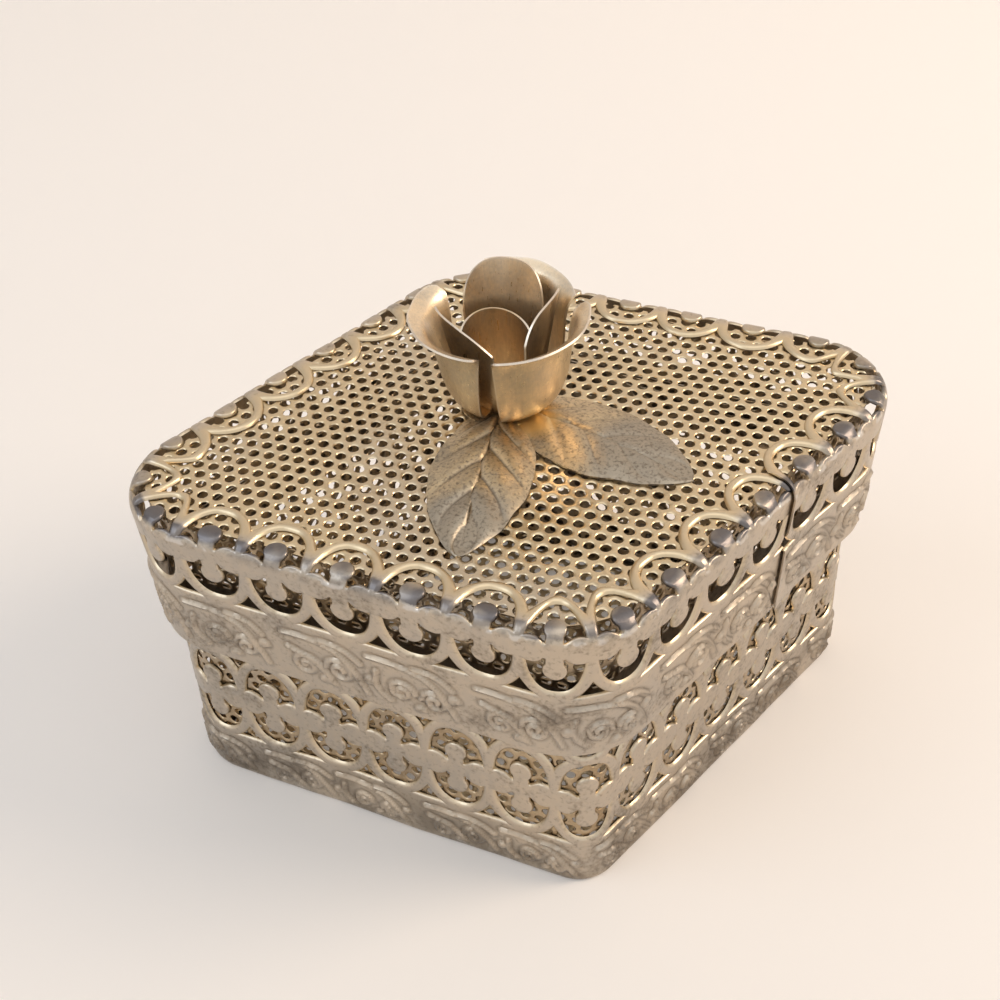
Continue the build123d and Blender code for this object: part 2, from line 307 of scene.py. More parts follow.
def lid_profile(height):
    """Inset, level and tilt of the lid strip at a height along it, over the fold and the top."""
    plan = bpy.context.scene.box_plan
    wall = LID_HIGH[2] - LID_LOW[2] - plan.fold
    if height < wall:
        return plan.lid_taper * (1 - height / wall), LID_LOW[2] + height, 0.0
    turned = (height - wall) / plan.fold
    if turned < math.pi / 2:
        inset = plan.fold * (1 - math.cos(turned))
        return inset, LID_LOW[2] + wall + plan.fold * math.sin(turned), turned
    return plan.fold + plan.fold * (turned - math.pi / 2), LID_HIGH[2], math.pi / 2


# Mesh steps


def everything(bm):
    return bm.verts[:] + bm.edges[:] + bm.faces[:]


def new_verts(made):
    return [part for part in made if isinstance(part, bmesh.types.BMVert)]


def weld(bm):
    bmesh.ops.remove_doubles(bm, verts=bm.verts[:], dist=WELD)


def move(bm, x, y):
    bmesh.ops.translate(bm, vec=(x, y, 0), verts=bm.verts)


def split(bm, point, normal, clear=False):
    """Cuts a mesh along a plane, and clears away what lies beyond it if asked."""
    bmesh.ops.bisect_plane(
        bm, geom=everything(bm), dist=WELD, plane_co=point, plane_no=normal, clear_outer=clear
    )


def repeat(bm, count, step, stagger=0.0):
    """Copies all that is there along a step, every other copy shifted by a stagger."""
    first = everything(bm)
    for index in range(1, count):
        copy = bmesh.ops.duplicate(bm, geom=first)["geom"]
        shift = step * index + Vector((stagger * (index % 2), 0, 0))
        bmesh.ops.translate(bm, vec=shift, verts=new_verts(copy))


def bend_round(bm, outline, profile):
    """Wraps a flat strip, drawn as distance, height and lift, round an outline."""
    for vert in bm.verts:
        distance, height, lift = vert.co
        point, outward = outline.place(distance)
        inset, level, tilt = profile(height)
        reach = lift * math.cos(tilt) - inset
        point = point + outward * reach
        vert.co = dent(Vector((point.x, point.y, level + lift * math.sin(tilt))))
    weld(bm)


def strip_map(bm):
    """Keeps the distance and height of a flat strip as its UV map, in centimetres."""
    layer = bm.loops.layers.uv.new("strip")
    for face in bm.faces:
        for loop in face.loops:
            loop[layer].uv = loop.vert.co.xy / (10 * MM)


def make_object(bm, name, thickness=0.0, offset=-1.0, sharp=math.radians(50)):
    """Turns a bmesh into a finished object, with a wall thickness where one is given."""
    mesh = bpy.data.meshes.new(name)
    bm.to_mesh(mesh)
    bm.free()
    piece = bpy.data.objects.new(name, mesh)
    bpy.context.scene.collection.objects.link(piece)
    if thickness:
        wall = piece.modifiers.new("Wall", "SOLIDIFY")
        wall.thickness = thickness
        wall.offset = offset
        depsgraph = bpy.context.evaluated_depsgraph_get()
        solid = bpy.data.meshes.new_from_object(piece.evaluated_get(depsgraph))
        piece.modifiers.clear()
        piece.data = solid
        solid.name = name
    piece.data.shade_smooth()
    piece.data.set_sharp_from_angle(angle=sharp)
    return piece


def settle(piece, body, slot, material, *nodes):
    """Gives a piece its body and material and hides the nodes it stands for; the slot it is given for
    its finish is not used.
    """
    piece.data.materials.clear()
    piece.data.materials.append(material)
    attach(piece, body)
    if nodes:
        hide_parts(*nodes)


# Openwork


def oval(x, half_width, half_height):
    """Height of an oval above its middle line."""
    return half_height * math.sqrt(max(0.0, 1 - (x / half_width) ** 2))


def full_oval(x, half_width, half_height):
    """Height of an oval that is fuller at its shoulders."""
    power = bpy.context.scene.box_filigree.fullness
    share = min(1.0, abs(x) / half_width)
    return half_height * (1 - share ** power) ** (1 / power)


def crescent(trim):
    """Outline of the opening above a quatrefoil's middle, widened by a trim."""
    cut = bpy.context.scene.box_filigree
    width = cut.oval_width + trim
    height = cut.oval_height + trim
    inner_trim = trim * cut.lobe_roll
    side = cut.side_radius - inner_trim
    lobe = cut.lobe_width - inner_trim
    neck = cut.neck - inner_trim
    heart = cut.heart - inner_trim

    def floor(x):
        return max(oval(abs(x) - cut.side_offset, side, side), oval(x, heart, heart))

    end, far = cut.side_offset, width
    for _ in range(40):
        middle = (end + far) / 2
        if full_oval(middle, width, height) > floor(middle):
            end = middle
        else:
            far = middle
    top = [-end * math.cos(math.pi * i / 22) for i in range(23)]
    top = [(x, full_oval(x, width, height)) for x in top]
    right = [end + (neck - end) * i / 9 for i in range(1, 10)]
    right = [(x, floor(x)) for x in right]
    dip = math.acos(neck / lobe)
    turns = [(math.pi + 2 * dip) * i / 14 - dip for i in range(15)]
    lobe = [(lobe * math.cos(t), cut.lobe_height + lobe * math.sin(t)) for t in turns]
    left = [(-x, y) for x, y in reversed(right)]
    return top + right + lobe + left


def lower_crescent(trim):
    return [(x, -y) for x, y in crescent(trim)]


def second_crescent(trim):
    """Lower crescent of the ring above."""
    rise = bpy.context.scene.box_filigree.row_pitch
    return [(x, y + rise) for x, y in lower_crescent(trim)]


def spandrel(pitch, trim):
    """Right-hand half of the opening between two rings and the border."""
    cut = bpy.context.scene.box_filigree
    width = cut.ring_width - trim
    height = cut.ring_height - trim
    level = cut.border_gap + trim * cut.lobe_roll
    start = width * math.sqrt(1 - (level / height) ** 2)
    steps = [start + (pitch / 2 - start) * i / 9 for i in range(10)]
    floor = [(pitch / 2 - (pitch / 2 - start) * i / 4, -level) for i in range(4)]
    return floor + [(x, -oval(x, width, height)) for x in steps]


def diamond(pitch, trim):
    """Right-hand half of the opening between four rings."""
    cut = bpy.context.scene.box_filigree
    width = cut.ring_width - trim
    height = cut.ring_height - trim
    middle = cut.row_pitch / 2
    start = width * math.sqrt(1 - (middle / height) ** 2)
    steps = [pitch / 2 - (pitch / 2 - start) * i / 9 for i in range(10)]
    low = [(x, oval(x, width, height)) for x in steps]
    high = [(x, cut.row_pitch - y) for x, y in reversed(low[:-1])]
    return low + high


def flipped(shape, trim):
    """The left-hand half that matches a right-hand one."""
    return [(-x, y) for x, y in shape(trim)]


def scallop(pitch, trim):
    """Free upper edge of a ring, from right to left."""
    cut = bpy.context.scene.box_filigree
    steps = [pitch / 2 - pitch * i / 18 for i in range(19)]
    return [(x, oval(x, cut.ring_width - trim, cut.arch_height - trim)) for x in steps]


def level_edge(pitch, height, trim):
    """Straight upper edge of a strip, from right to left."""
    return [(pitch / 2 - pitch * i / 8, height) for i in range(9)]


def add_chain(bm, points, closed):
    verts = [bm.verts.new((x, y, 0)) for x, y in points]
    pairs = list(zip(verts, verts[1:]))
    if closed:
        pairs.append((verts[-1], verts[0]))
    return verts, [bm.edges.new(pair) for pair in pairs]


def roll_edge(bm, edges, shape):
    """Turns the edge of an opening down in three steps, as stamped sheet does."""
    cut = bpy.context.scene.box_filigree
    # The edge layer weights the painted gold highlight that the strip metal lays along the rolled edge.
    wear_and_highlight = bm.verts.layers.float["edge"]
    for (wide, _), (narrow, drop) in zip(ROLL_STEPS, ROLL_STEPS[1:]):
        before = shape(wide * cut.roll)
        after = shape(narrow * cut.roll)
        grown = bmesh.ops.extrude_edge_only(bm, edges=edges)["geom"]
        edges = [part for part in grown if isinstance(part, bmesh.types.BMEdge)]
        for vert in new_verts(grown):
            gaps = [(vert.co.x - x) ** 2 + (vert.co.y - y) ** 2 for x, y in before]
            x, y = after[gaps.index(min(gaps))]
            vert.co = (x, y, -drop * cut.roll)
            vert[wear_and_highlight] = 1 - narrow


def ring_cell(pitch, low, holes, sides, top):
    """One repeat of a strip, flat, with its openings cut and their edges rolled."""
    cut = bpy.context.scene.box_filigree
    bm = bmesh.new()
    bm.verts.layers.float.new("edge")
    rolls = []
    for shape in holes:
        _, edges = add_chain(bm, shape(cut.roll), True)
        rolls.append((edges, shape))
    corners = [bm.verts.new((side * pitch / 2, low, 0)) for side in (1, -1)]
    bm.edges.new(corners)
    ends = []
    for corner, shapes in zip(corners, (sides, [partial(flipped, side) for side in sides])):
        last = corner
        for shape in shapes:
            verts, edges = add_chain(bm, shape(cut.roll), False)
            bm.edges.new((last, verts[0]))
            rolls.append((edges, shape))
            last = verts[-1]
        ends.append(last)
    verts, edges = add_chain(bm, top(cut.roll), False)
    bm.edges.new((ends[0], verts[0]))
    bm.edges.new((ends[1], verts[-1]))
    if top(0) != top(cut.roll):
        rolls.append((edges, top))
    bmesh.ops.triangle_fill(bm, use_beauty=True, use_dissolve=False, edges=bm.edges[:])
    for face in bm.faces:
        if face.normal.z < 0:
            face.normal_flip()
    for edges, shape in rolls:
        roll_edge(bm, edges, shape)
    return bm


def openwork(outline, profile, start, ring_level, low, holes, sides, top, name, folds=()):
    """Strip of rings: one cell is made, repeated and bent round the box."""
    cut = bpy.context.scene.box_filigree
    count = ring_count(outline)
    pitch = outline.length / count
    shapes = [partial(side, pitch) for side in sides]
    bm = ring_cell(pitch, low - ring_level, holes, shapes, partial(top, pitch))
    move(bm, 0, ring_level)
    for column in range(1, RING_COLUMNS):
        split(bm, (pitch * (column / RING_COLUMNS - 0.5), 0, 0), (1, 0, 0))
    for height in folds:
        split(bm, (0, height, 0), (0, 1, 0))
    repeat(bm, count, Vector((pitch, 0, 0)))
    weld(bm)
    bmesh.ops.recalc_face_normals(bm, faces=bm.faces)
    if sum(face.normal.z for face in bm.faces) < 0:
        bmesh.ops.reverse_faces(bm, faces=bm.faces)
    strip_map(bm)
    if start:
        lift_lap(bm, -pitch / 2)
    move(bm, start * pitch, 0)
    bend_round(bm, outline, profile)
    return make_object(bm, name, cut.sheet)


def lift_lap(bm, first):
    """Bends the first end of a strip outwards, where it laps over the last."""
    cut = bpy.context.scene.box_filigree
    for vert in bm.verts:
        share = 1 - (vert.co.x - first) / cut.lap_reach
        if share > 0:
            vert.co.z += cut.lap_lift * share * share
            vert.co.x -= cut.lap * share * share


# Embossed borders


def spiral(x, y, radius, hand, turns=1.6):
    """Stroke that winds in towards its middle."""
    points = []
    for i in range(29):
        share = i / 28
        around = share * turns * math.tau
        reach = radius * (1 - 0.82 * share)
        points.append((x + hand * reach * math.cos(around), y + reach * math.sin(around)))
    return points


def sweep(x0, y0, x1, y1, bow):
    """Bowed stroke from one point to another."""
    points = []
    for i in range(21):
        share = i / 20
        rise = bow * math.sin(math.pi * share)
        across = Vector((y0 - y1, x1 - x0)).normalized() * rise
        points.append((x0 + (x1 - x0) * share + across.x, y0 + (y1 - y0) * share + across.y))
    return points


def scroll_strokes(width, height):
    """Strokes of one scroll group: paired spirals, long leaves and small berries."""
    w, h, r = width, height, height * 0.2
    spirals = (
        (0.16, 0.36, 1.0, 1), (0.34, 0.42, 1.0, -1), (0.66, 0.40, 0.9, 1), (0.83, 0.36, 0.9, -1),
    )
    sweeps = (
        (0.05, 0.86, 0.48, 0.14, 0.30), (0.07, 0.62, 0.30, 0.12, 0.10),
        (0.50, 0.86, 0.94, 0.14, 0.30), (0.54, 0.64, 0.60, 0.16, -0.10),
        (0.25, 0.88, 0.46, 0.66, 0.08), (0.74, 0.88, 0.93, 0.66, 0.08),
    )
    berries = ((0.25, 0.16), (0.50, 0.42), (0.75, 0.14), (0.93, 0.50))
    strokes = [spiral(x * w, y * h, r * size, hand) for x, y, size, hand in spirals]
    strokes += [sweep(x0 * w, y0 * h, x1 * w, y1 * h, bow * h) for x0, y0, x1, y1, bow in sweeps]
    return strokes + [spiral(x * w, y * h, r * 0.32, 1, turns=1.0) for x, y in berries]


def stroke_gap(x, y, strokes, reach):
    """Distance from a point to the nearest stroke, up to three strokes' half widths."""
    best = (3 * reach) ** 2
    for x0, y0, x1, y1 in strokes:
        along = (x - x0) * (x1 - x0) + (y - y0) * (y1 - y0)
        span = (x1 - x0) ** 2 + (y1 - y0) ** 2
        share = min(1.0, max(0.0, along / span))
        gap = (x - x0 - share * (x1 - x0)) ** 2 + (y - y0 - share * (y1 - y0)) ** 2
        best = min(best, gap)
    return math.sqrt(best)


def border(outline, profile, start, low, high, name):
    """Solid border of a strip, with scrolls standing out of it in relief."""
    cut = bpy.context.scene.box_filigree
    width = outline.length / cut.scrolls
    columns = round(width / RELIEF_GRID)
    rows = round((high - low) / RELIEF_GRID)
    bm = bmesh.new()
    bmesh.ops.create_grid(bm, x_segments=columns, y_segments=rows, size=0.5)
    groove = bm.verts.layers.float.new("groove")
    segments = []
    for stroke in scroll_strokes(width, high):
        for first, last in zip(stroke, stroke[1:]):
            segments.append((*first, *last))
    for vert in bm.verts:
        x = (vert.co.x + 0.5) * width
        y = low + (vert.co.y + 0.5) * (high - low)
        fade = min(1.0, max(0.0, (y - 0.8 * MM) / MM)) * min(1.0, (high - y) / (0.6 * MM))
        near = [s for s in segments if abs(s[0] - x) < 2 * MM and abs(s[1] - y) < 2 * MM]
        gap = stroke_gap(x, y, near, cut.stroke) / cut.stroke
        lift = fade * cut.relief * max(0.0, 1 - gap * gap) ** 1.5
        vert[groove] = fade * math.exp(-((gap - 1.25) / 0.45) ** 2)
        vert.co = (x, y, lift - 0.2 * cut.relief * vert[groove])
    repeat(bm, cut.scrolls, Vector((width, 0, 0)))
    weld(bm)
    strip_map(bm)
    if start:
        lift_lap(bm, 0)
    shift = (start - 0.5) * outline.length / ring_count(outline) if start else 0
    move(bm, shift, 0)
    bend_round(bm, outline, profile)
    return make_object(bm, name, cut.sheet)


def make_band(body, outline, profile, start, ring_level, end, holes, sides, top, folds=()):
    """Openwork and embossed border of the base's or the lid's band."""
    metal = bpy.data.materials[f"{body.title()} openwork metal"]
    low = ring_level - bpy.context.scene.box_filigree.border_gap - MARGIN
    rings = openwork(
        outline, profile, start, ring_level, low, holes, sides, top, f"{body}_openwork", folds
    )
    settle(rings, body, "filigree_metal", metal, f"{body}_band")
    solid = border(outline, profile, start, end, low, f"{body}_border")
    settle(solid, body, "filigree_metal", metal, f"{body}_band")


# Perforated sheets


def hole_cells(columns, rows, thickness, pitch):
    """Upper half of a perforated sheet: hexagons with a round hole, in staggered rows."""
    holes = bpy.context.scene.box_sheet
    bm = bmesh.new()
    half = thickness / 2
    lift = Matrix.Translation((0, 0, half))
    rim = bmesh.ops.create_circle(bm, segments=HOLE_SIDES, radius=holes.hole + holes.lip, matrix=lift)
    edge = bmesh.ops.create_circle(bm, segments=HOLE_SIDES, radius=pitch / 2, matrix=lift)
    for vert in edge["verts"]:
        around = math.degrees(math.atan2(vert.co.y, vert.co.x)) % 60
        if abs(around - 30) < 5:
            vert.co.xy = vert.co.xy.normalized() * pitch / math.sqrt(3)
    bmesh.ops.bridge_loops(bm, edges=bm.edges[:])
    rim_edges = [e for e in bm.edges if all(v in rim["verts"] for v in e.verts)]
    grown = bmesh.ops.extrude_edge_only(bm, edges=rim_edges)["geom"]
    for vert in new_verts(grown):
        vert.co.xy = vert.co.xy.normalized() * holes.hole
        vert.co.z = 0
    repeat(bm, columns, Vector((pitch, 0, 0)))
    repeat(bm, rows, Vector((0, pitch * ROW, 0)), stagger=pitch / 2)
    weld(bm)
    return bm


def close_sheet(bm, thickness, on_edge):
    """Gives a half sheet its outer edge, then mirrors it to full thickness."""
    half = thickness / 2
    border_edges = []
    for edge in bm.edges:
        if edge.is_boundary and all(v.co.z > half * 0.9 and on_edge(v.co) for v in edge.verts):
            border_edges.append(edge)
    grown = bmesh.ops.extrude_edge_only(bm, edges=border_edges)["geom"]
    for vert in new_verts(grown):
        vert.co.z = 0
    weld(bm)
    bmesh.ops.mirror(bm, geom=everything(bm), matrix=Matrix.Identity(4), merge_dist=WELD, axis="Z")
    weld(bm)
    bmesh.ops.recalc_face_normals(bm, faces=bm.faces)


def flat_sheet(outline, node, name):
    """Perforated plate cut to a rounded rhombus."""
    holes = bpy.context.scene.box_sheet
    low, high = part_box(node)
    thickness = holes.sheet
    reach = 1.25 * outline.half_x
    columns = math.ceil(2 * reach / holes.pitch)
    rows = math.ceil(2 * reach / (holes.pitch * ROW))
    bm = hole_cells(columns, rows, thickness, holes.pitch)
    move(bm, -reach, -reach)
    bmesh.ops.rotate(bm, cent=(0, 0, 0), matrix=Matrix.Rotation(holes.turn, 3, "Z"), verts=bm.verts)
    last = Vector((0, 0))
    for index in range(EDGE_CUTS):
        point, outward = outline.place(outline.length * (index + 0.5) / EDGE_CUTS)
        if (outward - last).length < 1e-4:
            continue
        last = outward
        split(bm, point.to_3d(), outward.to_3d(), clear=True)
    close_sheet(bm, thickness, lambda co: True)
    middle = (low[2] + high[2]) / 2
    for vert in bm.verts:
        vert.co = dent(Vector((vert.co.x, vert.co.y, vert.co.z + middle)))
    return make_object(bm, name)


def strip_sheet(outline, low, height, name):
    """Perforated strip bent round an outline and closed on itself."""
    holes = bpy.context.scene.box_sheet
    thickness = holes.sheet
    columns = round(outline.length / holes.pitch)
    pitch = outline.length / columns
    rows = math.ceil(height / (pitch * ROW)) + 2
    bm = hole_cells(columns, rows, thickness, pitch)
    move(bm, 0, -0.6 * pitch)
    for level, facing in ((0, -1), (height, 1)):
        split(bm, (0, level, 0), (0, facing, 0), clear=True)
    close_sheet(bm, thickness, lambda co: min(abs(co.y), abs(co.y - height)) < WELD)
    bend_round(bm, outline, lambda height: (0.0, low + height, 0.0))
    return make_object(bm, name)


# Rose and leaves


def along_curve(points, share):
    """Point on a smooth curve through a few points."""
    place = min(share, 0.99999) * (len(points) - 1)
    index = int(place)
    t = place - index
    p1, p2 = Vector(points[index]), Vector(points[index + 1])
    p0 = Vector(points[index - 1]) if index else p1 * 2 - p2
    p3 = Vector(points[index + 2]) if index + 2 < len(points) else p2 * 2 - p1
    bend = (p2 - p0) * t + (p0 * 2 - p1 * 5 + p2 * 4 - p3) * t * t
    return p1 + (bend + (p1 * 3 - p0 - p2 * 3 + p3) * t ** 3) / 2


def square_top(across):
    """Share of a petal's full length at a place across it, with rounded corners."""
    corner = max(0.0, (abs(across) - 0.84) / 0.16)
    return 1 - 0.13 * (1 - math.sqrt(1 - min(1.0, corner) ** 2))


def arched_top(across):
    """Arch with upright sides and a round top."""
    return 0.5 + 0.5 * (1 - min(1.0, abs(across)) ** 2.6) ** (1 / 2.6)


def slanted_top(apex, across):
    """Arch whose highest point lies to one side, and whose sides fall less."""
    return 0.45 + 0.55 * math.sqrt(1 - ((across - apex) / 2.3) ** 2)


def tilted_top(across):
    """Rim of the bud, much lower towards the front."""
    return 0.80 + 0.20 * math.sin(math.pi * across)


@dataclass
class PetalShape:
    """Section of a petal, its place round the rose's axis and the form of its upper edge."""

    node: str
    profile: tuple
    span: float
    facing: float
    top: Callable = square_top
    ripple: float = 0.4
    spread: float = 0.0
    flatness: float = 0.0
    narrowing: float = 0.0
    lean: float = 1.0


def petal(shape):
    """Curved sheet swept through an angle round the rose's axis, with its rim marked for a painted
    highlight.
    """
    rose = bpy.context.scene.box_rose
    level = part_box(shape.node)[0][2]
    closed = shape.span > 359
    bm = bmesh.new()
    bmesh.ops.create_grid(bm, x_segments=60 if closed else 48, y_segments=36, size=1)
    rim = bm.verts.layers.float.new("rim")
    for vert in bm.verts:
        across, up = vert.co.x, (vert.co.y + 1) / 2
        # Marks the rim, where the petal metal paints a highlight.
        vert[rim] = 1.0 if up > 0.99 or abs(across) > 0.99 and not closed else 0.0
        reach, rise = along_curve(shape.profile, up * shape.top(across))
        narrow = 1 - shape.narrowing * (1 - up)
        turn = math.radians(shape.facing + across * narrow * shape.span / 2)
        wave = noise.noise(Vector((turn * 2.2, up * 2, shape.facing))) * shape.ripple
        side = across if shape.spread > 0 else -across
        reach += wave * up * up + abs(shape.spread) * up * (1 + side) / 2
        reach -= shape.flatness * up * (1 - across * across)
        rise += wave * 0.6 * up * up
        lean = rise * MM * math.tan(rose.lean) * shape.lean
        x = ROSE.x + reach * MM * math.cos(turn) - lean
        y = ROSE.y + reach * MM * math.sin(turn)
        vert.co = (x, y, level + rise * MM)
    weld(bm)
    return make_object(bm, f"{shape.node}_sheet", rose.petal, offset=0)


def leaf_relief(along, across, wear_and_highlight):
    """Height of a leaf over its edge, and how deep its creased veins are there."""
    rose = bpy.context.scene.box_rose
    fade = 1 - across ** 4
    lift = rose.leaf_cup * (1 - across * across) * math.sin(math.pi * min(1, along * 1.05))
    crease = math.exp(-(across / 0.05) ** 2) * (1 - along)
    lift -= rose.vein * crease
    line = along - 0.26 * abs(across) + 0.04 * math.copysign(1, across)
    creases = (0.02, 0.2, 0.39, 0.58, 0.78)
    for low, high in zip(creases, creases[1:]):
        share = (line - low) / (high - low)
        if 0 < share < 1:
            lift += wear_and_highlight * rose.vein * fade * math.sin(math.pi * share ** 1.3) ** 0.7
        crease = max(crease, fade * wear_and_highlight * math.exp(-((line - low) / 0.014) ** 2))
    return lift, crease


def add_leaf(bm, long, wide, facing, level, wear_and_highlight):
    """Creased leaf that points away from the rose's axis."""
    grid = bmesh.ops.create_grid(bm, x_segments=130, y_segments=64, size=1)
    groove = bm.verts.layers.float["groove"]
    turn = Matrix.Rotation(math.radians(facing), 3, "Z")
    for vert in grid["verts"]:
        along = 0.03 + 0.97 * (vert.co.x + 1) / 2
        across = vert.co.y
        half = wide / 2 * (4 * along * (1 - along)) ** 0.8 + 0.02 * MM
        wave = LEAF_WAVE * noise.noise(Vector((along * 9, across, facing)))
        side = across * half + wave * across * min(1, 6 * (1 - along))
        flat = turn @ Vector((along * long, side, 0))
        droop = -LEAF_DROOP * along ** 3
        rise, vert[groove] = leaf_relief(along, across, wear_and_highlight)
        vert.co = (ROSE.x + flat.x, ROSE.y + flat.y, level + rise + droop)


def leaf_place(long, facing):
    """Point along a leaf, at a distance from the rose's axis."""
    turn = math.radians(facing)
    return ROSE.x + long * math.cos(turn), ROSE.y + long * math.sin(turn), LEAF_HIGH[2]


# Materials


def new_group(name, sockets_in, sockets_out):
    group = bpy.data.node_groups.new(name, "ShaderNodeTree")
    for label, kind, value in sockets_in:
        socket = group.interface.new_socket(name=label, in_out="INPUT", socket_type=kind)
        if value is not None:
            socket.default_value = value
    for label, kind in sockets_out:
        group.interface.new_socket(name=label, in_out="OUTPUT", socket_type=kind)
    return group, group.nodes.new("NodeGroupInput"), group.nodes.new("NodeGroupOutput")


def add_node(tree, kind, inputs, **settings):
    """New shader node, each of whose inputs takes a value or a link."""
    node = tree.nodes.new(f"ShaderNode{kind}")
    for name, value in settings.items():
        setattr(node, name, value)
    for key, value in inputs.items():
        if isinstance(value, bpy.types.NodeSocket):
            tree.links.new(value, node.inputs[key])
        else:
            node.inputs[key].default_value = value
    return node


def tarnish_group():
    """Mask of soft patches broken up by fine specks."""
    group, given, result = new_group(
        "Tarnish",
        (
            ("Vector", "NodeSocketVector", None),
            ("Patch Scale", "NodeSocketFloat", 90.0),
            ("Speck Scale", "NodeSocketFloat", 1400.0),
            ("Level", "NodeSocketFloat", 0.5),
        ),
        (("Mask", "NodeSocketFloat"), ("Specks", "NodeSocketFloat")),
    )
    place, patch, speck, level = given.outputs[:4]
    coarse = {"Vector": place, "Scale": patch, "Detail": 6, "Roughness": 0.65}
    patches = add_node(group, "TexNoise", coarse).outputs["Fac"]
    fine = {"Vector": place, "Scale": speck, "Detail": 3}
    specks = add_node(group, "TexNoise", fine).outputs["Fac"]
    both = add_node(group, "Math", {0: specks, 1: 0.35, 2: patches}, operation="MULTIPLY_ADD")
    over = add_node(group, "Math", {0: both.outputs[0], 1: level}, operation="SUBTRACT")
    spread = add_node(group, "MapRange", {"Value": over.outputs[0], "From Max": 0.28})
    group.links.new(spread.outputs["Result"], result.inputs["Mask"])
    group.links.new(specks, result.inputs["Specks"])
    return group


class Finish:
    """A material that is built up from tones, each laid over the last by a mask."""

    def __init__(self, name, base, rough=0.38, metallic=1.0):
        self.material = bpy.data.materials.new(name)
        self.material.use_nodes = True
        self.tree = self.material.node_tree
        self.shader = self.tree.nodes["Principled BSDF"]
        self.shader.inputs["Metallic"].default_value = metallic
        self.shader.inputs["Roughness"].default_value = rough
        self.place = self.node("TexCoord", {}).outputs["Object"]
        self.tone = self.node("RGB", {}).outputs[0]
        self.tone.default_value = (*base, 1)

    def node(self, kind, inputs, **settings):
        return add_node(self.tree, kind, inputs, **settings)

    def feed(self, value, socket):
        """Links a value to one of the shader's own sockets."""
        self.tree.links.new(value, self.shader.inputs[socket])

    def reckon(self, operation, first, second):
        return self.node("Math", {0: first, 1: second}, operation=operation).outputs[0]

    def times(self, first, second):
        return self.reckon("MULTIPLY", first, second)

    def minus(self, first, second):
        return self.reckon("SUBTRACT", first, second)

    def ping_pong(self, value, scale):
        """Distance to the nearest of the evenly spaced ring centres."""
        return self.reckon("PINGPONG", value, scale)

    def range(self, value, low, high, start=0.0, end=1.0):
        limits = {"From Min": low, "From Max": high, "To Min": start, "To Max": end}
        return self.node("MapRange", {"Value": value, **limits}).outputs["Result"]

    def noise(self, vector, scale, detail=4.0):
        given = {"Vector": vector, "Scale": scale, "Detail": detail}
        return self.node("TexNoise", given).outputs["Fac"]

    def stretched(self, x, y, z):
        given = {"Vector": self.place, "Scale": (x, y, z)}
        return self.node("Mapping", given).outputs["Vector"]

    def tarnish(self, group, patch, speck, level):
        given = {"Vector": self.place, "Patch Scale": patch, "Speck Scale": speck, "Level": level}
        node = self.node("Group", given, node_tree=group)
        return node.outputs["Mask"], node.outputs["Specks"]

    def attribute(self, name):
        return self.node("Attribute", {}, attribute_name=name).outputs["Fac"]

    def strip_place(self):
        """Distance and height along a strip, in centimetres, from its own UV map."""
        place = self.node("UVMap", {}, uv_map="strip").outputs["UV"]
        axes = self.node("SeparateXYZ", {0: place})
        return axes.outputs["X"], axes.outputs["Y"]

    def near(self, place, inner, outer):
        """Is 1 within the inner distance of a place and 0 beyond the outer one."""
        node = self.node("VectorMath", {0: self.place, 1: place}, operation="DISTANCE")
        return self.range(node.outputs["Value"], inner, outer, 1.0, 0.0)

    def axis(self, name):
        return self.node("SeparateXYZ", {0: self.place}).outputs[name]

    def lay(self, tone, mask):
        """Lays a tone over the others where a mask is light."""
        layers = {"Factor": mask, 6: self.tone, 7: (*tone, 1)}
        self.tone = self.node("Mix", layers, data_type="RGBA").outputs[2]

    def done(self, rough, rough_low, rough_high, bump, strength, distance):
        """Links the tones, a roughness and a bump to the shader."""
        self.feed(self.tone, "Base Color")
        self.feed(self.range(rough, 0.3, 0.7, rough_low, rough_high), "Roughness")
        relief = {"Height": bump, "Strength": strength, "Distance": distance}
        self.feed(self.node("Bump", relief).outputs["Normal"], "Normal")
        return self.material


def strip_metal(name, group, level, is_lid):
    tones = bpy.context.scene.box_metal
    finish = Finish(name, tones.strip)
    along, height = finish.strip_place()
    cool, _ = finish.tarnish(group, 45, 700, 0.56)
    finish.lay(tones.strip_cool, finish.times(cool, 0.7))
    mask, specks = finish.tarnish(group, 95, 1500, level)
    finish.lay(tones.strip_dark, finish.times(mask, 0.8))
    finish.lay(tones.strip_dark, finish.range(specks, 0.56, 0.72, 0.0, 0.3))
    finish.lay(tones.strip_dark, finish.times(finish.attribute("groove"), 0.45))
    # Painted gold highlight along the rolled edges of the openings.
    finish.lay(tones.painted_gold_light, finish.range(finish.attribute("edge"), 0.3, 1.0, 0.0, 0.3))
    if is_lid:
        fold_metal(finish, along, height)
    else:
        # Darker towards the bottom of the base, broken up by noise.
        rough = finish.noise(finish.place, 130, 6.0)
        darker_low = finish.times(finish.range(height, 1.1, 0.4), finish.range(rough, 0.42, 0.58))
        finish.lay(tones.strip_dark, finish.times(darker_low, 0.6))
    fine = finish.noise(finish.place, 330, 8.0)
    return finish.done(mask, 0.32, 0.52, fine, 0.5, 0.2 * MM)


